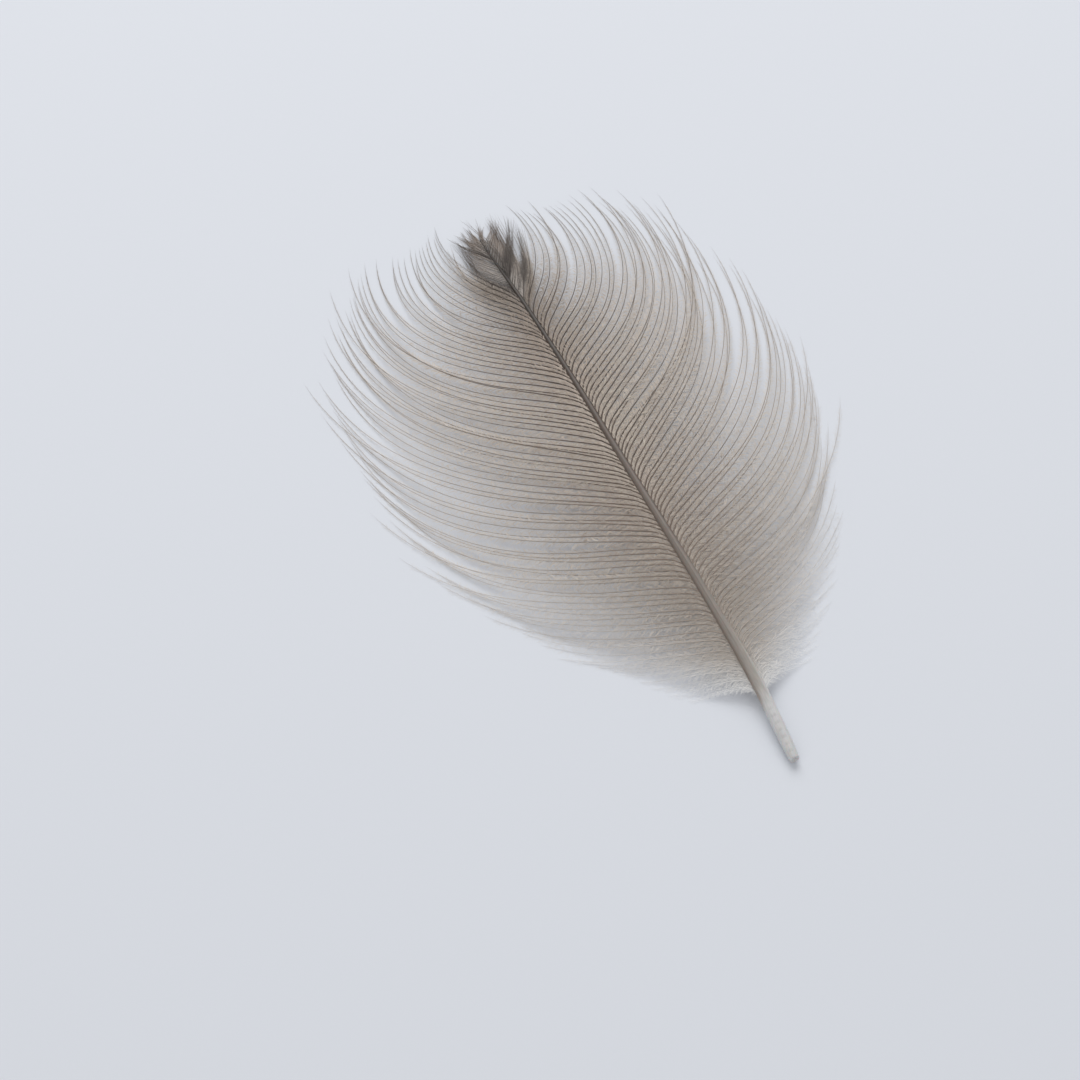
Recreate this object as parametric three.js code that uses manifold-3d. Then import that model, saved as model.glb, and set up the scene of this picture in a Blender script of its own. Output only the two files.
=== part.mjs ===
import * as THREE from 'three';
import { mergeVertices } from 'three/addons/utils/BufferGeometryUtils.js';
import Module from 'manifold-3d';

// A cul de canard feather, the soft feather from round a duck's preen gland.
// It lies on a level surface with its upper side up. Millimetres, +Z up.
// The shaft runs along +Y from the bare quill end to the feather's tip, and the origin is on
// the surface, under the middle of the feather's outline.

// Driving dimensions
const SHAFT_LENGTH = 50.4;
const QUILL_WIDTH = 0.92;
const LONGEST_BARB = 28.5;
const VANE_START = 4.6;
const VANE_END = 49.6;
const LOCKS_PER_SIDE = 36;
const BOW_HEIGHT = 1.9;
const ORIGIN = new THREE.Vector3(-0.3, 26.66, 0);

// How finely the solids are faceted
const SHAFT_SIDES = 8;
const SHAFT_STEPS = 28;
const LOCK_SIDES = 3;
const LOCK_STEPS = 10;

const SHADES = { vane: 0x5c5350 };

// A value that follows straight lines through stops of [where, value].
function along(stops, where) {
  if (where <= stops[0][0]) return stops[0][1];
  for (let i = 1; i < stops.length; i += 1) {
    const [from, low] = stops[i - 1];
    const [to, high] = stops[i];
    if (where <= to) return THREE.MathUtils.mapLinear(where, from, to, low, high);
  }
  return stops[stops.length - 1][1];
}

// The shaft's axis: its gentle bend to the side and its low arch over the surface.
const SIDE_BEND = [[0, 0], [0.13, 0.6], [0.26, 0.48], [0.5, 0], [0.76, 0.12], [0.9, 0.15], [1, 0]];
const shaftAxis = new THREE.CatmullRomCurve3(
  SIDE_BEND.map(([share, side]) => new THREE.Vector3(
    side,
    share * SHAFT_LENGTH,
    QUILL_WIDTH / 2 + BOW_HEIGHT * Math.sin(Math.PI * share) ** 1.2 - 0.3 * share,
  )),
);

// The shaft's width as a share of the quill's, from the blunt quill end to the hair-thin tip.
const SHAFT_WIDTHS = [
  [0, 0.7], [0.02, 0.92], [0.05, 1], [0.155, 0.98], [0.24, 0.72], [0.33, 0.7], [0.53, 0.56],
  [0.78, 0.42], [0.87, 0.34], [0.94, 0.22], [1, 0.1],
];

// A closed tapered rod: a cylinder whose cross-sections are laid along a curve.
// halfSize gives half the width and half the height at a share of the curve's length.
function rod(axis, sides, steps, halfSize) {
  const geometry = new THREE.CylinderGeometry(1, 1, 1, sides, steps);
  geometry.deleteAttribute('normal');
  geometry.deleteAttribute('uv');
  const merged = mergeVertices(geometry, 1e-5);
  const place = merged.getAttribute('position');
  const local = new THREE.Vector3();
  const up = new THREE.Vector3();
  const side = new THREE.Vector3();
  for (let i = 0; i < place.count; i += 1) {
    local.fromBufferAttribute(place, i);
    const share = THREE.MathUtils.clamp(local.y + 0.5, 0, 1);
    const forward = axis.getTangentAt(share);
    side.set(forward.y, -forward.x, 0).normalize();
    up.crossVectors(side, forward);
    const half = halfSize(share);
    const point = axis.getPointAt(share)
      .addScaledVector(side, local.x * half.width)
      .addScaledVector(up, local.z * half.height);
    place.setXYZ(i, point.x, point.y, Math.max(point.z, 0));
  }
  return merged;
}

// How long a barb is (mm), its widest angle to the shaft and the angle at its tip, by how far
// along the shaft it grows (mm).
const BARB_LENGTHS = [
  [4.6, 4], [7, 9.5], [9, 15.5], [12, 21.5], [16, 26], [20, LONGEST_BARB], [24, 28], [28, 26], [32, 23],
  [35, 20], [37, 17], [40, 13.4], [43, 10.8], [46, 7.5], [48, 4.6], [49.6, 2.6],
];
const WIDEST_ANGLES = [
  [4.6, 88], [8, 74], [13, 67], [17, 64], [20, 58], [24, 52], [32, 54], [37, 50], [43, 35], [49.6, 15],
];
const TIP_ANGLES = [
  [4.6, 70], [10, 34], [14, 14], [18, 2], [24, -6], [30, -16], [36, -24], [42, -18], [49.6, -8],
];
const ROOT_ANGLE = 35;

// The angle between a barb and the shaft: it opens from the root, holds, then turns to the tip.
function barbAngle(distance, share) {
  const widest = along(WIDEST_ANGLES, distance);
  const root = Math.min(ROOT_ANGLE, widest);
  const opening = THREE.MathUtils.smoothstep(share, 0, 0.16);
  const turning = Math.max(0, (share - 0.24) / 0.76) ** 1.15;
  return root + (widest - root) * opening - (widest - along(TIP_ANGLES, distance)) * turning;
}

// The curve of the barb that grows at a distance along the shaft, on side +1 (right) or -1 (left).
function barbCourse(distance, hand, length, turn) {
  const share = distance / SHAFT_LENGTH;
  const root = shaftAxis.getPointAt(share);
  const forward = shaftAxis.getTangentAt(share);
  const heading = Math.atan2(forward.x, forward.y);
  const steps = 24;
  const points = [root.clone()];
  const plan = root.clone();
  for (let i = 1; i <= steps; i += 1) {
    const angle = heading + hand * THREE.MathUtils.degToRad(barbAngle(distance, (i - 0.5) / steps) + turn);
    plan.x += Math.sin(angle) * length / steps;
    plan.y += Math.cos(angle) * length / steps;
    const sunk = THREE.MathUtils.smoothstep(i / steps, 0.05, 0.85);
    points.push(new THREE.Vector3(plan.x, plan.y, THREE.MathUtils.lerp(root.z, RESTING_HEIGHT, sunk)));
  }
  return new THREE.CatmullRomCurve3(points);
}

// A lock is a bunch of two or three neighbouring barbs: narrow where it leaves the shaft, widest
// near the shaft and drawn out to a point.
const LOCK_HEIGHT = 0.36;
const RESTING_HEIGHT = 0.04;
const LOCK_WIDTHS = [[0, 0.5], [0.18, 0.84], [0.45, 0.62], [0.75, 0.36], [1, 0.08]];

function lock(distance, hand, index) {
  const stray = Math.sin(2.4 * index + hand);
  const length = along(BARB_LENGTHS, distance) * (1 + 0.035 * stray);
  const slim = THREE.MathUtils.clamp(length / 12, 0.45, 1);
  const course = barbCourse(distance, hand, length, 1.6 * Math.sin(1.7 * index));
  return rod(course, LOCK_SIDES, LOCK_STEPS, (share) => ({
    width: slim * along(LOCK_WIDTHS, share) / Math.sqrt(3),
    height: (LOCK_HEIGHT * 2 / 3) * (1 - 0.6 * share),
  }));
}

const shaft = rod(shaftAxis, SHAFT_SIDES, SHAFT_STEPS, (share) => {
  const half = QUILL_WIDTH * along(SHAFT_WIDTHS, share) / 2;
  return { width: half, height: half * 0.95 };
});

// Locks stand closer together at the base and at the tip than along the middle.
const locks = [];
for (const hand of [1, -1]) {
  for (let index = 0; index < LOCKS_PER_SIDE; index += 1) {
    const share = (index + (hand > 0 ? 0.5 : 0.25)) / LOCKS_PER_SIDE;
    const spread = share + 0.035 * Math.sin(2 * Math.PI * (share - 0.5));
    locks.push(lock(THREE.MathUtils.lerp(VANE_START, VANE_END, spread), hand, index));
  }
}

const library = await Module();
library.setup();

function solid(geometry) {
  return new library.Manifold(new library.Mesh({
    numProp: 3,
    vertProperties: new Float32Array(geometry.getAttribute('position').array),
    triVerts: new Uint32Array(geometry.index.array),
  }));
}

function geometryOf(joined) {
  const mesh = joined.getMesh();
  const geometry = new THREE.BufferGeometry();
  geometry.setAttribute('position', new THREE.BufferAttribute(mesh.vertProperties, 3));
  geometry.setIndex(new THREE.BufferAttribute(mesh.triVerts, 1));
  geometry.computeVertexNormals();
  return geometry;
}

let grown = solid(shaft);
for (const piece of locks) grown = grown.add(solid(piece));

// Where locks cross they close off pinhole pockets. The outer skin alone fills them.
const skins = grown.decompose();
const outerSkin = skins.reduce((most, skin) => (skin.volume() > most.volume() ? skin : most));

const vaneMaterial = new THREE.MeshStandardMaterial({ color: SHADES.vane, roughness: 0.75, metalness: 0 });
const feather = new THREE.Mesh(geometryOf(outerSkin), vaneMaterial);
feather.name = 'feather';
feather.position.copy(ORIGIN).negate();

const part = new THREE.Group();
part.add(feather);

export default part;
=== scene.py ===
# %% [markdown]
# This lesson dresses one small, soft feather from round a duck's preen gland. It lies on a pale
# surface with its upper side up. The solid model is loaded first and stays where it is: it says how
# long the shaft is and how far the vane spreads. Everything made below stands in its place.

# %% Load the solid feather
import math

import bpy
import numpy as np
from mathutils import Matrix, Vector


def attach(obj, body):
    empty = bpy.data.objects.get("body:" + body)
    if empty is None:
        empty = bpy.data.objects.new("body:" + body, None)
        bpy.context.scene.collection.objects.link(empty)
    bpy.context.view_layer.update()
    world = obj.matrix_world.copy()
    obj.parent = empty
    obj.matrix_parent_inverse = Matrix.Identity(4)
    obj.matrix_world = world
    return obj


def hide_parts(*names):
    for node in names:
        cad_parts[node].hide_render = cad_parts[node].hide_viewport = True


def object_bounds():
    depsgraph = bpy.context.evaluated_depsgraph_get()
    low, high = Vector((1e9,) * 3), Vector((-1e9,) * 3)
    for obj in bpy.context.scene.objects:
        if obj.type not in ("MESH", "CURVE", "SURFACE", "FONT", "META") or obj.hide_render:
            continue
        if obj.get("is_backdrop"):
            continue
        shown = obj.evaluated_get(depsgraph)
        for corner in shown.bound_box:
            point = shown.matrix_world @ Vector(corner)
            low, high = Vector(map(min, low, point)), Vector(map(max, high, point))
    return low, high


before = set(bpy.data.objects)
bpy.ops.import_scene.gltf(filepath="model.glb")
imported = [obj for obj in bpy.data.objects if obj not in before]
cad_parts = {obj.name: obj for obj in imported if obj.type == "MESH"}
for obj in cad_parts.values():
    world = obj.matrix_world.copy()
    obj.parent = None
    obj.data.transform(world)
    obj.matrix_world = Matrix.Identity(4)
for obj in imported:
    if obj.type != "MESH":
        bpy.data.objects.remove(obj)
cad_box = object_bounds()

MM = 0.001
NODE = "feather"
print("solid feather, mm:", [round(side / MM, 1) for side in cad_box[1] - cad_box[0]])

# %% [markdown]
# A feather's form is a rule rather than a list of parts. A few stops say how long a barb is, and at
# what angle it stands, by how far along the shaft it grows. Values between the stops are read from
# straight or smooth lines. A plainer form of the same rule shaped the solid model: the two shafts lie
# at most a quarter of a millimetre apart, and the vanes reach about as far.

# %% Driving sizes, in millimetres from the quill's end
SHAFT_LENGTH = 50.4
QUILL_WIDTH = 0.92
VANE_START = 4.9
BOW_HEIGHT = 1.9
BOW_POWER = 1.2
TIP_DROP = 0.3
RESTING_HEIGHT = 0.04
MIDDLE = np.array([-0.3, 26.66, 0.0])

# By the share of the shaft's length: how far it bends to the right in mm, and its width as a share
# of the quill's.
SIDE_BEND = [(0, 0), (0.13, 0.36), (0.26, 0.26), (0.5, 0), (0.76, 0.12), (0.9, 0.15), (1, 0)]
SHAFT_WIDTHS = [
    (0, 0.76), (0.02, 0.94), (0.05, 1), (0.155, 0.98), (0.24, 0.72), (0.33, 0.7), (0.53, 0.56),
    (0.78, 0.43), (0.87, 0.37), (0.94, 0.24), (1, 0.08),
]
# By the place on the shaft where a barb grows, in mm: its length in mm, and the widest and the last of
# its angles off the shaft in degrees.
BARB_LENGTHS = [
    (4.6, 4.6), (7, 9.5), (9, 15.5), (12, 21.5), (16, 26), (20, 28.5), (24, 28), (28, 26), (32, 23),
    (35, 20), (37, 17), (40, 13.4), (43, 10.8), (46, 7.5), (48, 4.6), (49.6, 2.6),
]
WIDEST_ANGLES = [
    (4.6, 70), (8, 70), (13, 67), (17, 64), (20, 58), (24, 52), (32, 54), (37, 50), (43, 35), (49.6, 15),
]
TIP_ANGLES = [
    (4.6, 92), (7, 62), (10, 34), (14, 14), (18, 2), (24, -6), (30, -16), (36, -24), (42, -18), (49.6, -8),
]
print("the longest barb, mm:", max(length for place, length in BARB_LENGTHS))

# %% [markdown]
# Stops are read in two ways. Lengths and angles change on straight lines from stop to stop. The
# shaft's own bend has to be smooth, so it follows a curve through its stops. A third helper steps
# softly from 0 to 1, for all that sets in or dies away.

# %% Between the stops


def along(stops, where):
    """The value at a place, on straight lines through stops of (place, value)."""
    places, values = zip(*stops)
    return np.interp(where, places, values)


def smooth_along(stops, where):
    """The value at a place, on a smooth line through stops of (place, value)."""
    places, values = np.array(stops, float).T
    slopes = np.gradient(values, places)
    i = np.clip(np.searchsorted(places, where) - 1, 0, len(places) - 2)
    span = places[i + 1] - places[i]
    t = (where - places[i]) / span
    rise = t * t * (3 - 2 * t)
    bend = t * (1 - t) * span * ((1 - t) * slopes[i] - t * slopes[i + 1])
    return values[i] * (1 - rise) + values[i + 1] * rise + bend


def ease(share, start, end):
    """0 before start, 1 after end, and a smooth step between them."""
    t = np.clip((share - start) / (end - start), 0, 1)
    return t * t * (3 - 2 * t)


print("a barb from half-way up is", along(BARB_LENGTHS, SHAFT_LENGTH / 2).round(1), "mm long")

# %% [markdown]
# Everything grows from the shaft's middle line. Seen from above it bows a little to the right, low
# down and again near the tip. Seen from the side it is a low arch that ends lower at the tip.

# %% The shaft's course


def shaft_point(place):
    """The middle of the shaft at a distance from the quill's end."""
    share = np.asarray(place, float) / SHAFT_LENGTH
    side = smooth_along(SIDE_BEND, share)
    arch = np.abs(np.sin(math.pi * np.clip(share, 0, 1))) ** BOW_POWER
    height = QUILL_WIDTH / 2 + BOW_HEIGHT * arch - TIP_DROP * share
    return np.stack([side, share * SHAFT_LENGTH, height], axis=-1) - MIDDLE


def shaft_heading(place, reach=0.25):
    """The shaft's direction in plan, in radians to the right of straight ahead."""
    ahead = shaft_point(place + reach) - shaft_point(place - reach)
    return np.arctan2(ahead[..., 0], ahead[..., 1])


print("shaft from", shaft_point(0).round(2), "to", shaft_point(SHAFT_LENGTH).round(2))

# %% [markdown]
# The camera comes next, so that every piece is judged from the viewing angle that counts. It stands
# behind and above the quill, far off with a long lens, so near and far barbs keep the same scale.

# %% Camera
VIEW_TURN = math.radians(-25.28)
VIEW_RISE = math.radians(54)
VIEW_DISTANCE = 300 * MM
VIEW_AIM = Vector((-7.244, -2.567, 0)) * MM
LENS = 143.5

back = Vector((
    math.sin(VIEW_TURN) * math.cos(VIEW_RISE),
    -math.cos(VIEW_TURN) * math.cos(VIEW_RISE),
    math.sin(VIEW_RISE),
))
bpy.ops.object.camera_add(
    location=VIEW_AIM + back * VIEW_DISTANCE, rotation=(math.pi / 2 - VIEW_RISE, 0, VIEW_TURN)
)
camera = bpy.context.object
camera.name = "camera"
camera.data.lens = LENS
camera.data.clip_start = 1 * MM
bpy.context.scene.camera = camera
print("camera at", [round(side / MM) for side in camera.location], "mm")

# %% [markdown]
# Every finish below is a small sum on how far a spot is along its barb and along the shaft. This
# class lets such a sum be written as ordinary Python: each operator adds the node that does it.


# %% Shader helper
class Wire:
    """An output of a shader node. Python's operators on it add Math nodes."""

    def __init__(self, socket):
        self.socket = socket
        self.tree = socket.id_data

    @classmethod
    def node(cls, tree, kind, inputs, settings=None, output=0):
        """Adds a node: its settings first, then values or links for its sockets."""
        made = tree.nodes.new(kind)
        for name, value in (settings or {}).items():
            if name == "stops":
                cls.set_stops(made.color_ramp, value)
            else:
                setattr(made, name, value)
        for name, value in inputs.items():
            if isinstance(value, Wire):
                tree.links.new(value.socket, made.inputs[name])
            else:
                made.inputs[name].default_value = value
        return cls(made.outputs[output])

    @staticmethod
    def set_stops(ramp, stops):
        """Gives a colour ramp its (place, colour) stops, which rise."""
        first, *middle, last = stops
        ramp.elements[0].position, ramp.elements[0].color = first
        ramp.elements[1].position, ramp.elements[1].color = last
        for place, colour in middle:
            ramp.elements.new(place).color = colour

    def math(self, operation, *others):
        inputs = dict(enumerate([self, *others]))
        return Wire.node(self.tree, "ShaderNodeMath", inputs, {"operation": operation})

    def __sub__(self, other):
        return self.math("SUBTRACT", other)

    def __rsub__(self, other):
        return (self * -1).math("ADD", other)

    def __mul__(self, other):
        return self.math("MULTIPLY", other)

    __rmul__ = __mul__

    def step(self, start, end):
        """0 up to start and 1 from end, with a smooth rise between them. A falling step has end < start."""
        ends = {"Value": self, "From Min": start, "From Max": end}
        return Wire.node(self.tree, "ShaderNodeMapRange", ends, {"interpolation_type": "SMOOTHSTEP"})


print("Wire:", Wire.__doc__)

# %% [markdown]
# Colours are easiest to name as they look on a screen, but a shader works with light. So each tone is
# turned into light first, and colours are then mixed by Mix nodes, which keep all three channels.

# %% Tones and finishes


def tone(red, green, blue):
    """A colour given as it looks on screen, from 0 to 255, as the light that a shader works with."""
    return tuple(((level / 255 + 0.055) / 1.055) ** 2.4 for level in (red, green, blue)) + (1,)


def tones_along(wire, tones):
    """A colour that follows a wire through stops of (place, red, green, blue)."""
    stops = [(place, tone(*levels)) for place, *levels in tones]
    return Wire.node(wire.tree, "ShaderNodeValToRGB", {"Fac": wire}, {"stops": stops})


def mix(factor, low, high, blend="MIX"):
    """A colour between two others, through a Mix node."""
    inputs = {0: factor, 6: low, 7: high}
    tree = next(part for part in (factor, low, high) if isinstance(part, Wire)).tree
    settings = {"data_type": "RGBA", "blend_type": blend}
    return Wire.node(tree, "ShaderNodeMix", inputs, settings, output=2)


def new_finish(name, roughness):
    """An empty material with a principled shader. Returns both."""
    finish = bpy.data.materials.new(name)
    finish.use_nodes = True
    shader = finish.node_tree.nodes["Principled BSDF"]
    shader.inputs["Roughness"].default_value = roughness
    return finish, shader


print("a screen's middle grey gives back", round(tone(128, 128, 128)[0], 3), "of the light")

# %% [markdown]
# A feather has two directions of its own: out along a barb, and up along the shaft. Both are stored
# in one map on each piece, so a finish can follow growth rather than space. The map's first number
# is the share of the barb's length, or the turn round the shaft, and its second is the share of the
# shaft's length. Some barbs of the closed tip take the place of a neighbour there, and so its tones.

# %% The growth map
GROWTH_MAP = "OFBake"


def growth(tree):
    """The two numbers of the growth map as wires, and the map itself."""
    place = Wire.node(tree, "ShaderNodeUVMap", {}, {"uv_map": GROWTH_MAP})
    parts = Wire.node(tree, "ShaderNodeSeparateXYZ", {"Vector": place}).socket.node.outputs
    return Wire(parts["X"]), Wire(parts["Y"]), place


print("growth map:", GROWTH_MAP)

# %% [markdown]
# The shaft is one horn rod. Its bare end, the quill, is clear and hollow, and dried pith shows
# through it as a ladder of grey marks. Above it the rod is solid, brown-grey and thinner and thinner.
# It could be a curve with a bevel, but a curve gives no say over the blunt end. So it is drawn out
# of one disc: extruded from station to station along its course, and resized at each.

# %% Shaft
RING_CORNERS = 10
# The stations stand close together at the blunt end and at the tip.
BLUNT_END_PLACES = [0, 0.12, 0.45, 1.0]
EVEN_PLACES = np.linspace(2.2, SHAFT_LENGTH - 0.4, 34)
STATION_PLACES = np.concatenate([BLUNT_END_PLACES, EVEN_PLACES, [SHAFT_LENGTH]])
# A subdivided ring is a little smaller than its cage.
CAGE_GROWTH = 1.035


def shaft_radius(place):
    return CAGE_GROWTH * QUILL_WIDTH / 2 * along(SHAFT_WIDTHS, place / SHAFT_LENGTH)


bpy.ops.object.select_all(action="DESELECT")
bpy.ops.mesh.primitive_circle_add(
    vertices=RING_CORNERS,
    radius=shaft_radius(0) * MM,
    fill_type="NGON",
    location=Vector(shaft_point(0)) * MM,
    rotation=(math.pi / 2, 0, 0),
)
shaft = bpy.context.object
shaft.name = shaft.data.name = "shaft"
bpy.ops.object.transform_apply(location=True, rotation=True, scale=True)
bpy.ops.object.mode_set(mode="EDIT")
bpy.ops.mesh.select_all(action="SELECT")
for before, place in zip(STATION_PLACES, STATION_PLACES[1:]):
    centre = Vector(shaft_point(place)) * MM
    stride = centre - Vector(shaft_point(before)) * MM
    ratio = shaft_radius(place) / shaft_radius(before)
    bpy.ops.mesh.extrude_region_move(TRANSFORM_OT_translate={"value": stride})
    bpy.ops.transform.resize(value=(ratio, ratio, ratio), center_override=centre)
bpy.ops.mesh.select_all(action="SELECT")
bpy.ops.mesh.normals_make_consistent(inside=False)
bpy.ops.object.mode_set(mode="OBJECT")
print("shaft cage:", len(shaft.data.polygons), "faces")

# %% [markdown]
# The quill's end isn't flat: a small pit marks where it was fed as it grew. The end face is picked by
# where it lies, inset and pushed in. Then subdivision rounds the whole rod, and is applied.

# %% Pit in the quill's end, and a rounded rod
PIT_RIM = 0.12
PIT_DEPTH = 0.22
PIT_TAPER = 0.6

bpy.ops.object.mode_set(mode="EDIT")
bpy.ops.mesh.select_mode(type="FACE")
bpy.ops.mesh.select_all(action="DESELECT")
bpy.ops.object.mode_set(mode="OBJECT")
quill_face = min(shaft.data.polygons, key=lambda face: face.center.y)
quill_face.select = True
quill_centre = quill_face.center.copy()
bpy.ops.object.mode_set(mode="EDIT")
bpy.ops.mesh.inset(thickness=PIT_RIM * MM, depth=0)
bpy.ops.mesh.extrude_region_move(TRANSFORM_OT_translate={"value": (0, PIT_DEPTH * MM, 0)})
bpy.ops.transform.resize(value=(PIT_TAPER, PIT_TAPER, PIT_TAPER), center_override=quill_centre)
bpy.ops.mesh.select_all(action="SELECT")
bpy.ops.mesh.normals_make_consistent(inside=False)
bpy.ops.object.mode_set(mode="OBJECT")

rounding = shaft.modifiers.new("rounding", "SUBSURF")
rounding.levels = rounding.render_levels = 2
bpy.ops.object.modifier_apply(modifier=rounding.name)
bpy.ops.object.shade_smooth()
print("shaft:", len(shaft.data.polygons), "faces")

# %% [markdown]
# The rod has no map yet. Each corner's share of the length comes from how far along it lies, and its
# turn from the angle round the shaft's middle, with the seam underneath where it isn't seen.

# %% The shaft's growth map
# The end faces lie across the shaft. A little of each corner's distance from the middle goes into its
# share of the length, so that these faces have some room in the map too.
END_FACE_ROOM = 0.004

mesh = shaft.data
corners = np.array([vertex.co for vertex in mesh.vertices]) / MM
places = corners[:, 1] + MIDDLE[1]
off = corners - shaft_point(np.clip(places, 0, SHAFT_LENGTH))
turns = (np.arctan2(off[:, 0], -off[:, 2]) / (2 * math.pi)) % 1
radii = np.hypot(off[:, 0], off[:, 2]) / QUILL_WIDTH
picks = np.array([loop.vertex_index for loop in mesh.loops]).reshape(-1, 4)
turn = 1 - turns[picks]
# A face on the seam has turns near 0 and near 1. The low ones go up by a whole turn.
on_seam = np.ptp(turn, axis=1, keepdims=True) > 0.5
turn[on_seam & (turn < 0.5)] += 1
share = places[picks] / SHAFT_LENGTH + END_FACE_ROOM * radii[picks]
mesh.uv_layers.new(name=GROWTH_MAP).data.foreach_set("uv", np.stack([turn, share], axis=-1).ravel())
print("turns from", turn.min().round(2), "to", turn.max().round(2))

# %% [markdown]
# Horn is smooth and slightly waxy. The quill is milky. Above it the left edge darkens at once, the middle
# slowly and the right edge last, until the whole rod is brown-grey and at the tip nearly black. The
# browning up the rod is its own colour. The darker left edge is painted shade on the side away from the
# light, and the lighter right edge a painted highlight. So three rows of tones follow the share of the
# length, and the turn round the rod picks between them.

# %% Tones of the horn
MILK = (206, 206, 206)
PITH_COLOUR = tone(146, 146, 144)
# The dark of the painted shade in the groove.
GROOVE_SHADE_COLOUR = tone(96, 86, 79)
# The left edge's tones are darker: painted shade on the rod's side away from the light.
LEFT_SHADE_TONES = [
    (0.08, *MILK), (0.105, 158, 149, 140), (0.14, 140, 129, 120), (0.3, 132, 121, 113),
    (0.5, 114, 103, 95), (0.65, 92, 81, 73), (0.8, 66, 57, 50), (1, 54, 46, 41),
]
MIDDLE_TONES = [
    (0.085, *MILK), (0.12, 166, 161, 155), (0.17, 148, 141, 134), (0.3, 134, 125, 117),
    (0.46, 120, 109, 101), (0.6, 94, 82, 74), (0.8, 64, 55, 48), (1, 54, 46, 41),
]
# The right edge's tones are lighter: a painted highlight on the rod's side towards the light.
RIGHT_HIGHLIGHT_TONES = [
    (0.09, *MILK), (0.16, 180, 176, 170), (0.24, 150, 143, 136), (0.38, 112, 102, 95),
    (0.5, 100, 89, 81), (0.65, 82, 71, 63), (0.8, 64, 55, 48), (1, 54, 46, 41),
]
# The first turn is where an edge's tones begin to show, the second where they have taken over: painted
# shade on the left edge, a painted highlight on the right.
LEFT_SHADE_EDGE = (0.4, 0.31)
RIGHT_HIGHLIGHT_EDGE = (0.53, 0.61)

horn, shader = new_finish("horn", roughness=0.5)
tree = horn.node_tree
turn_wire, share_wire, place_wire = growth(tree)
# Masks for the painted shade on the left edge and the painted highlight on the right edge.
left = turn_wire.step(*LEFT_SHADE_EDGE)
right = turn_wire.step(*RIGHT_HIGHLIGHT_EDGE)
colour = mix(left, tones_along(share_wire, MIDDLE_TONES), tones_along(share_wire, LEFT_SHADE_TONES))
colour = mix(right, colour, tones_along(share_wire, RIGHT_HIGHLIGHT_TONES))
print("tones of the horn:", len(tree.nodes), "nodes")

# %% [markdown]
# Two marks lie over these tones, both on the line that the camera sees in the middle of the rod: a
# faint dark line along its lower half, painted shade where the rod is grooved though its shape is not,
# and the rungs of pith in the quill.
# A fine grain goes over all of it, and lifts the surface a little too.

# %% Horn finish
# Each pair is where a mark begins to show and where it shows in full: in turns from TURN_IN_VIEW for
# a breadth, in shares of the shaft for a start or an end, and in shares of RUNG_SPACING for a rung.
TURN_IN_VIEW = 0.46
GROOVE_BREADTH = (0.035, 0.0)
GROOVE_START = (0.15, 0.22)
GROOVE_END = (0.56, 0.48)
GROOVE_SHADE_STRENGTH = 0.5
RUNG_SPACING = 0.57
RUNG_THICKNESS = (0.55, 0.2)
RUNG_BREADTH = (0.1, 0.03)
RUNG_END = (0.1, 0.07)
RUNG_STRENGTH = 0.2
GRAIN_SCALE = (26, 60, 1)
GRAIN_DARK = tone(70, 66, 62)
GRAIN_LIGHT = tone(255, 252, 246)
GRAIN_STRENGTH = 0.3
GRAIN_HEIGHT = 0.02

from_middle = (turn_wire - TURN_IN_VIEW).math("ABSOLUTE")
# A line of painted shade where the rod is grooved. The rod's shape has no groove.
groove_shade = from_middle.step(*GROOVE_BREADTH) * share_wire.step(*GROOVE_START)
colour = mix(groove_shade * share_wire.step(*GROOVE_END) * GROOVE_SHADE_STRENGTH, colour, GROOVE_SHADE_COLOUR)
between_rungs = (share_wire * (SHAFT_LENGTH / RUNG_SPACING)).math("FRACT")
rung = between_rungs.step(*RUNG_THICKNESS) * from_middle.step(*RUNG_BREADTH)
colour = mix(rung * share_wire.step(*RUNG_END) * RUNG_STRENGTH, colour, PITH_COLOUR)
grain_place = Wire.node(tree, "ShaderNodeMapping", {"Vector": place_wire, "Scale": GRAIN_SCALE})
grain = Wire.node(tree, "ShaderNodeTexNoise", {"Vector": grain_place, "Scale": 1.0, "Detail": 3.0})
mottled = mix(GRAIN_STRENGTH, colour, mix(grain, GRAIN_DARK, GRAIN_LIGHT), "OVERLAY")
tree.links.new(mottled.socket, shader.inputs["Base Color"])
bump = {"Height": grain, "Distance": GRAIN_HEIGHT * MM, "Strength": 0.5}
relief = Wire.node(tree, "ShaderNodeBump", bump)
tree.links.new(relief.socket, shader.inputs["Normal"])
shader.inputs["Subsurface Weight"].default_value = 0.2
shader.inputs["Subsurface Scale"].default_value = 0.3 * MM
shader.inputs["Coat Weight"].default_value = 0.06
shaft.data.materials.append(horn)
print("horn finish:", len(tree.nodes), "nodes")

# %% [markdown]
# A barb is a hair-thin rod that leaves the shaft at a slant, swings out and then turns towards the
# tip. Three hundred rods of a few hundred faces each are too many to draw by hand, and too unlike
# each other for an array modifier. So each side's barbs are worked out together as arrays of points,
# and turned into one mesh. Chance, from a fixed seed, gives each barb its own length, turn and curl.

# %% Where the barbs grow
BARBS_PER_MM = [(4.6, 6), (6, 4), (8, 2.5), (12, 2.15), (25, 2.0), (37, 1.65), (42, 1.5), (45, 1.7)]
FIRST_GAP = 0.1
GAP_SPREAD = 0.13
# Above these places, to the right (1) and to the left (-1), the vane is closed.
FREE_END = {1: 42.6, -1: 43.7}

chance = np.random.default_rng(7)


def barb_roots(hand):
    """Where the free barbs of one side grow, from the base up."""
    roots = []
    place = VANE_START + FIRST_GAP
    while place < FREE_END[hand]:
        roots.append(place)
        place += (1 + GAP_SPREAD * chance.standard_normal()) / along(BARBS_PER_MM, place)
    return np.array(roots)


print("barbs in a millimetre, low, half-way and high:", along(BARBS_PER_MM, [6, 25, 42]))

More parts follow.
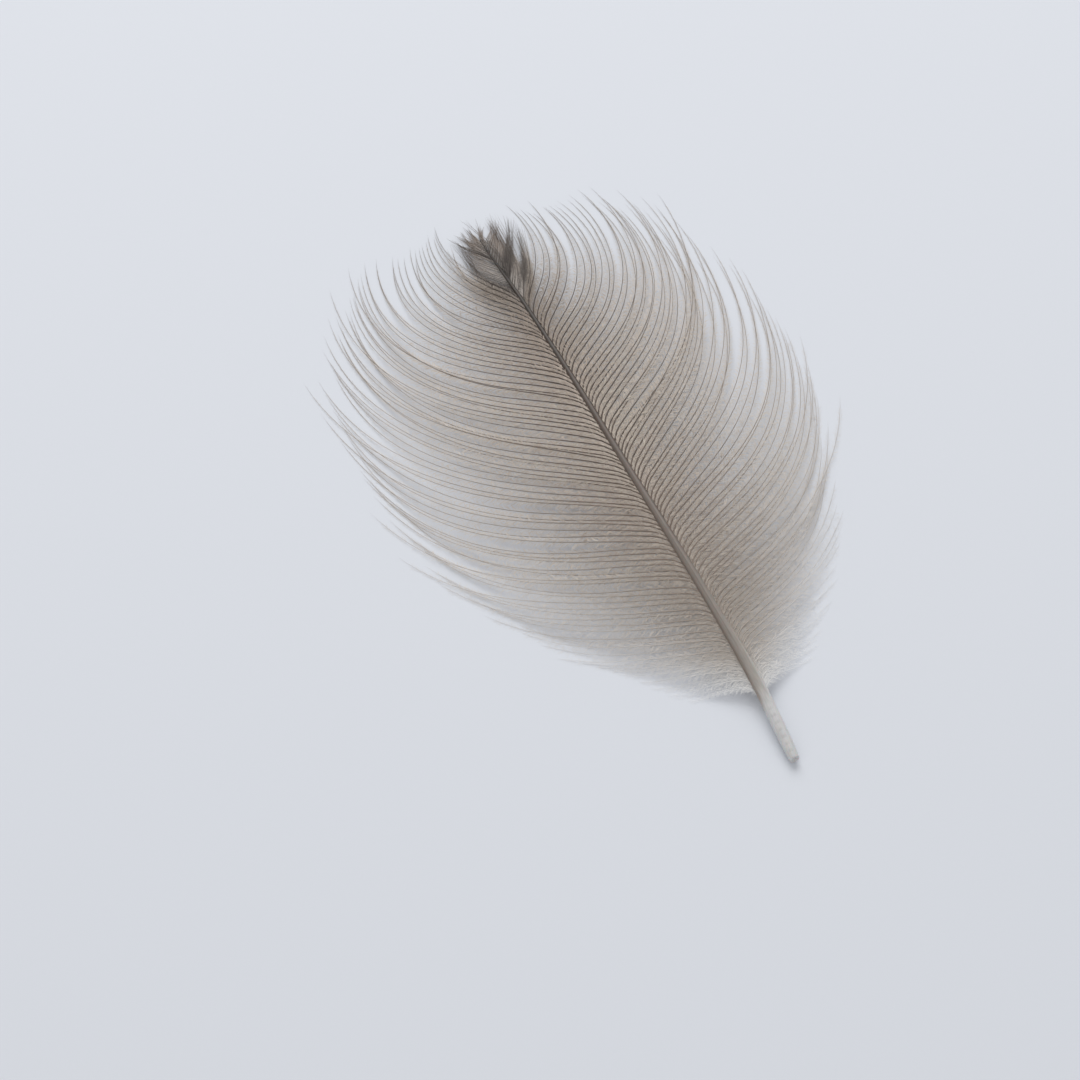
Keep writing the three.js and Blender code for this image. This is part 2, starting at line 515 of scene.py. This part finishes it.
# %% [markdown]
# In plan a barb's course is given by its angle off the shaft. It leaves narrow, opens to its widest
# over the first few millimetres, and from a quarter of its length on turns to its last angle. A slow
# wave goes over that. Summing up small strides at these angles gives the points.

# %% How a barb runs
STATIONS = 32
# Stations crowd towards the root, where a barb bends most.
STATION_CROWDING = 1.25
STATION_SHARES = np.linspace(0, 1, STATIONS) ** STATION_CROWDING
ROOT_ANGLE = 20
OPENING = 2.4
TURN_START = 0.24
TURN_POWER = 1.15
WAVE_ANGLE = 1.4
WAVES = 1.3
# The shares of its length between which a barb comes down from the shaft to the surface.
DESCENT = (0.05, 0.85)


def barb_courses(roots, hand, lengths, turns, curls):
    """The points of each barb, from root to tip: barbs by stations by x, y and z."""
    middles = (STATION_SHARES[1:] + STATION_SHARES[:-1]) / 2
    root = roots[:, None]
    widest = along(WIDEST_ANGLES, root)
    start = np.minimum(ROOT_ANGLE, widest)
    tip = along(TIP_ANGLES, root) + curls[:, None]
    opening = ease(middles * lengths[:, None], 0, OPENING)
    turning = np.maximum(0, (middles - TURN_START) / (1 - TURN_START)) ** TURN_POWER
    angle = start + (widest - start) * opening - (widest - tip) * turning + turns[:, None]
    angle += WAVE_ANGLE * np.sin(2 * math.pi * (WAVES * middles + chance.random((len(roots), 1))))
    heading = shaft_heading(root) + hand * np.radians(angle)
    stride = lengths[:, None] * np.diff(STATION_SHARES)
    starts = shaft_point(roots)
    courses = np.repeat(starts[:, None], STATIONS, axis=1)
    courses[:, 1:, 0] += np.cumsum(np.sin(heading) * stride, axis=1)
    courses[:, 1:, 1] += np.cumsum(np.cos(heading) * stride, axis=1)
    return courses


def settle(courses, lifts):
    """Lets barbs down from the shaft to the surface. Each keeps a lift of its own."""
    sunk = ease(STATION_SHARES, *DESCENT)
    fluff = lifts[:, None] * np.sin(math.pi * STATION_SHARES) ** 2
    root_height = courses[:, :1, 2]
    courses[:, :, 2] = root_height + (RESTING_HEIGHT - root_height) * sunk + fluff
    return courses


print("a barb's first stride is", round(STATION_SHARES[1], 3), "of its length")

# %% [markdown]
# Neighbouring barbs run side by side, but not evenly: here and there two or three lean together or
# spread apart. So barbs are taken in small groups, and each group is drawn a few per cent of the way
# to its own middle, or away from it, more and more towards the tip. A few barbs go astray.

# %% Leaning groups and strays
# How far chance goes: as a share for a length, and in degrees for a turn, which swings a whole barb,
# and a curl, which bends it towards its tip. A drift is shared by DRIFT_NEIGHBOURS.
LENGTH_SPREAD = 0.03
DRIFT_NEIGHBOURS = 6
TURN_DRIFT, TURN_SPREAD = 0.2, 0.25
CURL_DRIFT = 0.45
CURL_SPREADS = [(10, 2.6), (22, 1.4), (36, 0.7)]
STRAY_SHARE = 0.04
STRAY_CURL, STRAY_TURN = 11, 2
GROUP_SIZES = [1, 2, 2, 3]
PULLS = (-0.08, 0.12)
PULL_START = 0.35


def cling(courses, sizes, pulls):
    """Draws each group of neighbouring barbs together, from a share of their length on."""
    drawn = courses.copy()
    ramp = ease(STATION_SHARES, PULL_START, 1)
    first = 0
    for size, pull in zip(sizes, pulls):
        group = slice(first, first + size)
        if first >= len(courses):
            break
        middle = courses[group].mean(axis=0)
        drawn[group] += (middle - courses[group]) * (pull * ramp)[:, None]
        first += size
    return drawn


def drift(count):
    """Chance that changes slowly from barb to barb, so that neighbours run side by side."""
    single = chance.standard_normal(count + DRIFT_NEIGHBOURS - 1)
    return np.convolve(single, np.ones(DRIFT_NEIGHBOURS), "valid") / math.sqrt(DRIFT_NEIGHBOURS)


print("about one barb in", round(1 / STRAY_SHARE), "goes astray")

# %% [markdown]
# With these the free barbs of a side can be made: their roots first, then what chance does to each,
# then their courses in plan, and last the way down to the surface.

# %% The free barbs of a side
BARB_LIFT = 0.35


def free_barbs(hand):
    """Roots, lengths, courses and tone places of the barbs of one side, below the closed tip."""
    roots = barb_roots(hand)
    count = len(roots)
    lengths = along(BARB_LENGTHS, roots) * (1 + LENGTH_SPREAD * chance.standard_normal(count))
    turns = TURN_DRIFT * drift(count) + TURN_SPREAD * chance.standard_normal(count)
    curls = CURL_DRIFT * drift(count) + along(CURL_SPREADS, roots) * chance.standard_normal(count)
    stray = chance.random(count) < STRAY_SHARE
    curls[stray] += chance.uniform(-STRAY_CURL, STRAY_CURL, stray.sum())
    turns[stray] += chance.uniform(-STRAY_TURN, STRAY_TURN, stray.sum())
    courses = barb_courses(roots, hand, lengths, turns, curls)
    sizes = chance.choice(GROUP_SIZES, size=count)
    pulls = chance.uniform(*PULLS, size=count)
    courses = cling(courses, sizes, pulls)
    return roots, lengths, settle(courses, chance.uniform(0, BARB_LIFT, count)), roots


print("half-way out a barb is lifted by up to", BARB_LIFT, "mm")

# %% [markdown]
# At the tip the vane is closed: short, dark barbs hook together and end in pointed tufts. These are
# too few and too different for a rule, so each tuft has a row of its own, read from how it looks.

# %% Tufts of the closed tip
# Each tuft gives its side (1 is right), its first and last root, and its slant in degrees. Then come
# the lowest and highest place on its edge and its end, in mm to the side and along the shaft. The last
# three are its number of barbs, how far off on the shaft the barbs grow whose tones it takes, and how
# high it lies over the rest.
TUFTS = [
    (-1, 44.3, 48.4, 46, (-1.75, 46.2), (-1.15, 49.9), (-1.7, 50.8), 19, 0, 0),
    (-1, 48.0, 48.5, 38, (-1.25, 49.8), (-1.35, 50.0), (-2.1, 51.1), 5, -3.3, 0.1),
    (-1, 48.0, 49.6, 34, (-0.9, 50.1), (-0.6, 50.6), (-1.2, 51.6), 15, 0, 0),
    (-1, 43.8, 44.6, 54, (-2.0, 45.9), (-1.7, 47.4), (-1.7, 50.2), 9, 0, 0),
    (-1, 49.2, 50.2, 20, (-0.4, 50.5), (-0.1, 51.1), (-0.4, 51.9), 9, 0, 0),
    (-1, 43.2, 44.1, 50, (-3.3, 46.8), (-2.8, 48.2), (-2.5, 50.5), 5, -3, 0),
    (1, 43.1, 49.6, 28, (1.9, 46.0), (1.2, 50.6), (1.5, 51.85), 38, 2.6, 0),
    (1, 45.6, 46.3, 27, (1.8, 48.6), (2.2, 49.6), (2.65, 51.35), 9, -1.8, 0.2),
    (1, 42.7, 44.2, 36, (2.4, 46.0), (2.5, 47.9), (2.9, 50.6), 14, 0, 0),
    (1, 49.2, 50.2, 12, (0.3, 50.7), (0.4, 51.0), (0.6, 51.9), 9, 0, 0),
    (1, 45.6, 45.9, 16, (1.3, 48.2), (0.4, 50.0), (-0.9, 52.2), 2, -1.8, 0.3),
]
print("tufts:", len(TUFTS), "with", sum(tuft[7] for tuft in TUFTS), "barbs")

# %% [markdown]
# The barbs of a tuft leave the shaft side by side, run out to its edge one above the other, and follow
# that edge to the tuft's end. A curve with four control points does that: the root, a point out along
# the slant, a place on the edge and the end.

# %% How a tuft's barbs run
# How far chance moves a tuft's roots, slants, edge and ends.
TUFT_ROOT_SPREAD = 0.05
TUFT_SLANT_SPREAD = 3
TUFT_EDGE_SPREAD = 0.08
TUFT_END_SPREAD = np.array([0.25, 0.3, 0])
# How far out the second control point lies, as a share of the way to the edge.
TUFT_SLANT_REACH = 0.62
TUFT_LIFT = 0.25
# A tuft's barbs stay above this share of their root's height. Between the shares of RISING one that
# lies over the rest is lifted.
TUFT_LEAST_HEIGHT = 0.45
RISING = (0, 0.3)


def tuft_barbs(hand, first, last, slant, low, high, end, count, tone_shift, rise):
    """Roots, lengths, courses and tone places of one tuft."""
    low, high, end = (np.array([*spot, 0]) for spot in (low, high, end))
    roots = np.linspace(first, last, count) + TUFT_ROOT_SPREAD * chance.standard_normal(count)
    rank = np.linspace(0, 1, count)[:, None]
    start = shaft_point(roots)
    slants = slant + TUFT_SLANT_SPREAD * chance.standard_normal(count)
    headings = shaft_heading(roots) + hand * np.radians(slants)
    edge = low * (1 - rank) + high * rank - MIDDLE
    edge += TUFT_EDGE_SPREAD * chance.standard_normal((count, 3))
    meet = end - MIDDLE + TUFT_END_SPREAD * chance.standard_normal((count, 3))
    reach = np.linalg.norm((edge - start)[:, :2], axis=1)
    out = np.stack([np.sin(headings), np.cos(headings), 0 * headings], axis=-1)
    slanted = start + out * (TUFT_SLANT_REACH * reach)[:, None]
    t = STATION_SHARES[None, :, None]
    courses = (
        (1 - t) ** 3 * start[:, None]
        + 3 * t * (1 - t) ** 2 * slanted[:, None]
        + 3 * t**2 * (1 - t) * edge[:, None]
        + t**3 * meet[:, None]
    )
    courses[:, :, 2] = start[:, None, 2]
    lengths = np.linalg.norm(np.diff(courses, axis=1), axis=2).sum(axis=1)
    courses = settle(courses, chance.uniform(0, TUFT_LIFT, count))
    heights = np.maximum(courses[:, :, 2], start[:, None, 2] * TUFT_LEAST_HEIGHT)
    courses[:, :, 2] = heights + rise * ease(STATION_SHARES, *RISING)
    return roots, lengths, courses, roots + tone_shift


print("the ends of a tuft's barbs scatter by about", TUFT_END_SPREAD.max(), "mm")

# %% [markdown]
# A side of the vane is its free barbs and its tufts. Four columns are kept for each of them: where a
# barb grows, how long it is, how it runs, and the place whose tones it takes.

# %% Both sides of the vane


def side_of_vane(hand):
    """All the barbs of one side: roots, lengths, courses and tone places."""
    parts = [free_barbs(hand)]
    parts += [tuft_barbs(*tuft) for tuft in TUFTS if tuft[0] == hand]
    return [np.concatenate(column) for column in zip(*parts)]


both = {"right": side_of_vane(1), "left": side_of_vane(-1)}
print("barbs:", {name: len(group[0]) for name, group in both.items()})

# %% [markdown]
# The lowest barbs are down: white, very soft, and far too weak to hold a shape. They are pieces of
# their own because they fill another material slot than the vane. They share its finishes all the
# same, since their white comes with their place on the shaft.

# %% Down and vane
DOWN_END = 6.9


def pick(group, low, high):
    """The barbs of a group that grow between two places."""
    chosen = (group[0] >= low) & (group[0] < high)
    return [column[chosen] for column in group]


SIDES = {name: pick(group, DOWN_END, SHAFT_LENGTH) for name, group in both.items()}
downs = [pick(group, 0, DOWN_END) for group in both.values()]
DOWN = [np.concatenate(column) for column in zip(*downs)]
for name, (roots, lengths, *_) in {**SIDES, "down": DOWN}.items():
    print(name, len(roots), "barbs, the longest", lengths.max().round(1), "mm")

# %% [markdown]
# A line becomes a closed, pointed thread: a small square of corners at each station, faces between
# the squares, and a fan that ends in a point. All threads have the same faces, so these are listed
# once, each corner with its station and its place round the thread.

# %% The faces of a thread
CORNERS = 4
# In the map a thread's root face reaches a little below 0, and a thread is as broad as 0.3 mm of shaft.
ROOT_STEP = 0.2
ROOT_SHARE = 0.02
SHAFT_SHARE = 1 / SHAFT_LENGTH
MAP_BREADTH = 0.3 * SHAFT_SHARE


def thread_faces():
    """The triangles of one thread: for each corner its point, its station and its place round it."""
    triangles = []
    last = STATIONS - 2
    for i in range(last):
        for j in range(CORNERS):
            a, b = (i, j), (i, j + 1)
            c, d = (i + 1, j + 1), (i + 1, j)
            triangles += [(a, d, c), (a, c, b)]
    for j in range(CORNERS):
        triangles.append(((last, j), (last + 1, j + 0.5), (last, j + 1)))
    for j in range(1, CORNERS - 1):
        triangles.append(((-ROOT_STEP, 0), (0, j), (0, j + 1)))
    spots = np.array(triangles, float)
    ring = np.clip(spots[..., 0], 0, None).astype(int)
    points = ring * CORNERS + spots[..., 1].astype(int) % CORNERS
    points[ring == last + 1] = (last + 1) * CORNERS
    return points, spots


print("a thread has", len(thread_faces()[0]), "faces")

# %% [markdown]
# All threads of a bundle make one mesh. At each station a frame of two directions, across the line
# and above it, places the square, and the growth map is worked out corner by corner.

# %% Threads from lines
UP = np.array([0.0, 0.0, 1.0])


def add_mesh(name, points, faces, u, v):
    """A mesh object of points in mm and three-cornered faces, with its growth map."""
    made = bpy.data.meshes.new(name)
    made.from_pydata((points.reshape(-1, 3) * MM).tolist(), [], faces.tolist())
    growth_layer = made.uv_layers.new(name=GROWTH_MAP)
    growth_layer.data.foreach_set("uv", np.stack([u, v], axis=-1).ravel())
    piece = bpy.data.objects.new(name, made)
    bpy.context.collection.objects.link(piece)
    return piece


def add_threads(name, courses, radii, places):
    """A mesh object of threads, each round one course and at one place on the shaft."""
    count = len(courses)
    forward = np.gradient(courses, axis=1)
    forward /= np.linalg.norm(forward, axis=2, keepdims=True)
    across = np.cross(forward, UP)
    across /= np.linalg.norm(across, axis=2, keepdims=True)
    above = np.cross(across, forward)
    turn = 2 * math.pi * np.arange(CORNERS) / CORNERS
    rim = across[:, :, None] * np.cos(turn)[:, None] + above[:, :, None] * np.sin(turn)[:, None]
    rings = courses[:, :-1, None] + radii[:, :-1, None, None] * rim[:, :-1]
    points = np.concatenate([rings.reshape(count, -1, 3), courses[:, -1:]], axis=1)
    faces, spots = thread_faces()
    faces = (faces[None] + (np.arange(count) * points.shape[1])[:, None, None]).reshape(-1, 3)
    stations, corners = spots[..., 0], spots[..., 1]
    shares = np.interp(stations, np.arange(STATIONS), STATION_SHARES) + ROOT_SHARE * np.minimum(stations, 0)
    u = np.repeat(shares[None], count, axis=0)
    v = (places * SHAFT_SHARE)[:, None, None] + MAP_BREADTH * (corners / CORNERS - 0.5)[None]
    threads = add_mesh(name, points, faces, u, v)
    threads.data.shade_smooth()
    return threads


print("a thread is as broad in the map as", round(MAP_BREADTH * SHAFT_LENGTH, 2), "mm of shaft")

# %% [markdown]
# A barb is thickest at its root and hardly a hundredth of a millimetre at its end. The short barbs of
# the tip and of the down are finer than the long ones.

# %% Barbs
# The width in mm by the share of the barb's length, for barbs of FULL_WIDTH_LENGTH and more.
BARB_WIDTHS = [(0, 0.115), (0.12, 0.09), (0.4, 0.058), (0.7, 0.038), (0.9, 0.022), (1, 0.008)]
FULL_WIDTH_LENGTH = 14
LEAST_SLIMNESS = 0.6

pieces = []


def add_barbs(name, roots, lengths, courses, tone_places):
    slim = np.clip(lengths / FULL_WIDTH_LENGTH, LEAST_SLIMNESS, 1)[:, None]
    radii = slim * along(BARB_WIDTHS, STATION_SHARES)[None] / 2
    barbs = add_threads(name, courses, radii, tone_places)
    print(name, len(barbs.data.polygons), "faces")
    return barbs


for name, group in SIDES.items():
    pieces.append((add_barbs("barbs_" + name, *group), "vane"))
pieces.append((add_barbs("down_barbs", *DOWN), "down"))

# %% [markdown]
# Barbules are what makes this feather soft: each barb carries hundreds, too fine to see one by one,
# and together they are the haze between the barbs. Elsewhere on a bird they hook the barbs into a
# sheet; here they stand free, long and tangled near the base, short and dense at the closed tip, and
# fewer towards a barb's end. Again a few stops say how they change from the base to the tip.

# %% Where the barbules stand
# By the place of their barb on the shaft: the gap between them, their length and their width in mm.
BARBULE_GAPS = [(4.6, 0.045), (9, 0.055), (14, 0.066), (34, 0.07), (40, 0.064), (45, 0.06), (50, 0.06)]
BARBULE_LENGTHS = [
    (4.6, 0.4), (5.6, 0.7), (8, 1.0), (12, 0.85), (20, 0.74), (36, 0.74), (42, 0.6), (44.5, 0.32),
    (50, 0.24),
]
BARBULE_WIDTHS = [(4.6, 0.017), (9, 0.022), (15, 0.032), (30, 0.036), (40, 0.038), (45, 0.03), (50, 0.028)]
# Barbules crowd towards a barb's root. They stand between these shares of its length.
CROWDING = 1.6
FIRST_SHARE, SHARE_RANGE = 0.005, 0.94
# Their slant off the barb and their fall below level, in degrees, and how far both scatter.
SLANT = 42
SLANT_SPREADS = [(4.6, 26), (12, 18), (20, 11), (50, 9)]
FALL, FALL_SPREAD = -9, 6
# By the shaft they have ROOT_ROOM of their length, and all of it ROOM_GROWTH mm further out. Between
# the shares of THINNING_RANGE they get shorter by what THINNING says for their barb's place, and all
# the way out they get narrower.
ROOT_ROOM, ROOM_GROWTH = 0.3, 1.6
THINNING = [(10, 0.55), (20, 0.82), (50, 0.88)]
THINNING_RANGE = (0.3, 0.95)
NARROWING = 0.7
# Chance makes each longer or shorter, and wider or narrower, by a factor between these.
LENGTH_FACTORS = (0.7, 1.25)
WIDTH_FACTORS = (0.4, 1.8)
LOWEST = 0.004
print("a barb 25 mm long has", 2 * int(25 / along(BARBULE_GAPS, 25)), "barbules")

# %% [markdown]
# The barbules of a barb are worked out together too, one side after the other. Each foot is a place
# on the barb. From there the barb's own direction is turned sideways by the slant and down by the
# fall, and the barbule's length leads to its end, which stays above the surface.

# %% The lines of the barbules


def barbules_beside(root, length, course, hand):
    """Feet, ends, widths and shares of the barbules on one side of one barb."""
    count = int(length / along(BARBULE_GAPS, root))
    ahead = np.gradient(course, axis=0)
    at = ((np.arange(count) + chance.random(count)) / count) ** CROWDING * SHARE_RANGE + FIRST_SHARE
    foot, lead = (
        np.stack([np.interp(at, STATION_SHARES, line[:, axis]) for axis in range(3)], axis=-1)
        for line in (course, ahead)
    )
    lead /= np.linalg.norm(lead, axis=1, keepdims=True)
    slant = np.radians(chance.normal(SLANT, along(SLANT_SPREADS, root), count)) * hand
    lift = np.radians(chance.normal(FALL, FALL_SPREAD, count))
    way = lead * np.cos(slant)[:, None] + np.cross(lead, UP) * np.sin(slant)[:, None]
    way = way * np.cos(lift)[:, None] + UP * np.sin(lift)[:, None]
    room = ROOT_ROOM + (1 - ROOT_ROOM) * ease(at * length, 0, ROOM_GROWTH)
    room *= 1 - along(THINNING, root) * ease(at, *THINNING_RANGE)
    reach = along(BARBULE_LENGTHS, root) * room * chance.uniform(*LENGTH_FACTORS, count)
    end = foot + way * reach[:, None]
    end[:, 2] = np.maximum(end[:, 2], LOWEST)
    width = along(BARBULE_WIDTHS, root) * (1 - NARROWING * at) * chance.uniform(*WIDTH_FACTORS, count)
    return foot, end, width, at


def barbules_of(roots, lengths, courses, tone_places):
    """Feet, ends, widths, shares and places of all barbules of a group of barbs."""
    rows = []
    for root, length, course, tone_place in zip(roots, lengths, courses, tone_places):
        for hand in (1, -1):
            foot, end, width, at = barbules_beside(root, length, course, hand)
            rows.append((foot, end, width, at, np.full(len(at), tone_place * SHAFT_SHARE)))
    return [np.concatenate(column) for column in zip(*rows)]


print("barbules stand", SLANT, "degrees off their barb, give or take", SLANT_SPREADS[-1][1])

# %% [markdown]
# A barbule is drawn as the simplest closed solid there is, a sliver with four corners: its foot, its
# end, and a corner to each side of its middle. More than a hundred thousand of them, in five pieces,
# are still light meshes. They stay flat shaded, because smooth shading leaves dark specks on a solid
# with such sharp edges.

# %% Barbules
SLIVER_FACES = np.array([(0, 3, 2), (1, 2, 3), (0, 2, 1), (0, 1, 3)])
# In the map a sliver is this long, and its corners lie at these shares of its length and breadth.
SLIVER_LENGTH = 0.004
SLIVER_SHARES = np.array([0, 1, 0.5, 0.5])
SLIVER_TURNS = np.array([0, 0, 0.5, -0.5])
MOST_FACES = 195000
# One mesh for all barbules of a side would have too many faces, so a side is made in two halves.
HALVES = {"lower": (DOWN_END, 23), "upper": (23, SHAFT_LENGTH)}


def add_barbules(name, *group):
    feet, ends, widths, shares, places = barbules_of(*group)
    lead = ends - feet
    lead /= np.linalg.norm(lead, axis=1, keepdims=True)
    across = np.cross(lead, UP)
    across /= np.linalg.norm(across, axis=1, keepdims=True)
    half = widths[:, None] / 2
    crown = (feet + ends) / 2 + np.cross(across, lead) * half
    points = np.stack([feet, ends, crown + across * half, crown - across * half], axis=1)
    faces = SLIVER_FACES[None] + 4 * np.arange(len(feet))[:, None, None]
    u = shares[:, None, None] + SLIVER_LENGTH * SLIVER_SHARES[SLIVER_FACES]
    v = places[:, None, None] + MAP_BREADTH * SLIVER_TURNS[SLIVER_FACES]
    barbules = add_mesh(name, points, faces.reshape(-1, 3), u, v)
    assert len(barbules.data.polygons) < MOST_FACES, name
    print(name, len(barbules.data.polygons), "faces")
    return barbules


for side, group in SIDES.items():
    for half, (low, high) in HALVES.items():
        pieces.append((add_barbules(f"barbules_{side}_{half}", *pick(group, low, high)), "vane"))
pieces.append((add_barbules("down_barbules", *DOWN), "down"))

# %% [markdown]
# Barbs are a warm brown-grey, darkest by the shaft and in the closed tip. They pale to the colour of
# smoke towards their ends, and to white in the down. Barbules are a lighter brown than their barb. So
# each finish has two rows of tones along the shaft, one for the roots of barbs and one for their ends.

# %% Tones of the vane
BARB_ROOT_TONES = [
    (0.1, 250, 249, 247), (0.14, 202, 194, 185), (0.2, 166, 154, 143), (0.3, 150, 136, 124),
    (0.42, 122, 108, 97), (0.55, 96, 84, 75), (0.8, 76, 65, 57), (0.89, 54, 49, 46),
    (0.905, 70, 64, 60), (1, 70, 64, 60),
]
BARB_END_TONES = [
    (0.1, 252, 251, 250), (0.2, 210, 203, 196), (0.35, 172, 160, 149), (0.6, 148, 136, 125),
    (0.74, 118, 107, 98), (0.89, 96, 87, 80), (0.905, 112, 102, 95), (1, 112, 100, 91),
]
BARBULE_ROOT_TONES = [
    (0.1, 252, 251, 249), (0.155, 208, 200, 192), (0.24, 192, 182, 172), (0.4, 192, 180, 169),
    (0.55, 204, 192, 180), (0.7, 186, 173, 161), (0.8, 162, 149, 137), (0.852, 150, 140, 131),
    (0.868, 98, 92, 88), (0.89, 98, 92, 88), (0.905, 178, 171, 165), (1, 178, 171, 165),
]
BARBULE_END_TONES = [
    (0.1, 252, 251, 250), (0.18, 228, 223, 218), (0.3, 223, 215, 206), (0.6, 221, 211, 201),
    (0.852, 196, 185, 174), (0.87, 108, 101, 96), (0.89, 108, 101, 96), (0.905, 172, 163, 155),
    (1, 170, 156, 146),
]
# The shares of a barb's length between which its tones change from root to end.
PALING = (0.04, 0.65)
STREAK_DARK = tone(60, 58, 56)
STREAK_LIGHT = tone(255, 252, 248)
print("tones end at", PALING[1], "of a barb's length")

# %% [markdown]
# The finishes of barbs and barbules are one sum on other tones. Those of the root and the end are
# mixed by how far out along its barb a spot lies, and streaks that follow growth go over them.

# %% Vane finishes


def vane_finish(name, root_tones, end_tones, streak_scale, contrast):
    """A dull, faintly silky finish that follows growth, with streaks of its own."""
    finish, shader = new_finish(name, roughness=0.62)
    tree = finish.node_tree
    out_wire, up_wire, place_wire = growth(tree)
    roots, ends = tones_along(up_wire, root_tones), tones_along(up_wire, end_tones)
    colour = mix(out_wire.step(*PALING), roots, ends)
    streak_place = Wire.node(tree, "ShaderNodeMapping", {"Vector": place_wire, "Scale": streak_scale})
    streak = Wire.node(tree, "ShaderNodeTexNoise", {"Vector": streak_place, "Scale": 1.0, "Detail": 3.0})
    colour = mix(contrast, colour, mix(streak, STREAK_DARK, STREAK_LIGHT), "OVERLAY")
    tree.links.new(colour.socket, shader.inputs["Base Color"])
    shader.inputs["Specular IOR Level"].default_value = 0.25
    shader.inputs["Sheen Weight"].default_value = 0.1
    return finish


barb_finish = vane_finish(
    "barb", BARB_ROOT_TONES, BARB_END_TONES, streak_scale=(5, 110, 1), contrast=0.3
)
barbule_finish = vane_finish(
    "barbule", BARBULE_ROOT_TONES, BARBULE_END_TONES, streak_scale=(90, 110, 1), contrast=0.55
)
for piece, slot in pieces:
    piece.data.materials.append(barbule_finish if "barbules" in piece.name else barb_finish)
print("vane finishes:", barb_finish.name, barbule_finish.name)

# %% [markdown]
# The feather rests on a plain pale floor, so that the haze of barbules reads against it. A cool white
# world gives about half of the light. Two wide soft lights add shape: one from beyond the tip and to
# the right, and a weaker one from high up on the left.

# %% Floor and light
FLOOR_COLOUR = tone(226, 229, 235)
FLOOR_SIDE = 4
WORLD_COLOUR = (0.97, 0.98, 1.0, 1)
WORLD_STRENGTH = 0.51

bpy.ops.object.select_all(action="DESELECT")
bpy.ops.mesh.primitive_plane_add(size=FLOOR_SIDE, location=(0, 0, 0))
floor = bpy.context.object
floor.name = "floor"
floor_finish, shader = new_finish("pale floor", roughness=0.8)
shader.inputs["Base Color"].default_value = FLOOR_COLOUR
floor.data.materials.append(floor_finish)
floor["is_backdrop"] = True

world = bpy.data.worlds.new("soft white")
world.use_nodes = True
background = world.node_tree.nodes["Background"]
background.inputs["Color"].default_value = WORLD_COLOUR
background.inputs["Strength"].default_value = WORLD_STRENGTH
bpy.context.scene.world = world
bpy.context.scene.view_settings.view_transform = "Standard"


def add_soft_light(name, place, size, power):
    """A square light that faces the feather."""
    bpy.ops.object.light_add(type="AREA", location=place)
    light = bpy.context.object
    light.name = name
    light.rotation_euler = (-Vector(place)).to_track_quat("-Z", "Y").to_euler()
    light.data.size = size
    light.data.energy = power


add_soft_light("window", (0.12, 0.34, 0.36), size=0.4, power=1.5)
add_soft_light("fill", (-0.5, -0.3, 0.7), size=0.8, power=0.8)
print("lights:", [item.name for item in bpy.data.lights])

# %% [markdown]
# Every piece is tied to the solid model. All of them ride on its one body and together stand for its
# one solid.

# %% Tie the pieces to the solid feather
pieces.append((shaft, "shaft"))
for piece, slot in pieces:
    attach(piece, "root")
    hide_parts(NODE)
    print(piece.name, "rides and takes slot", slot)

# %% [markdown]
# Last, the box round the solid model and the box round the pieces are put side by side, and the box
# round the pieces is printed.

# %% Sizes, and done
boxes = [[list(corner) for corner in box] for box in (cad_box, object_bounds())]
print("visual box, mm:", [[round(value / MM, 2) for value in corner] for corner in boxes[1]])
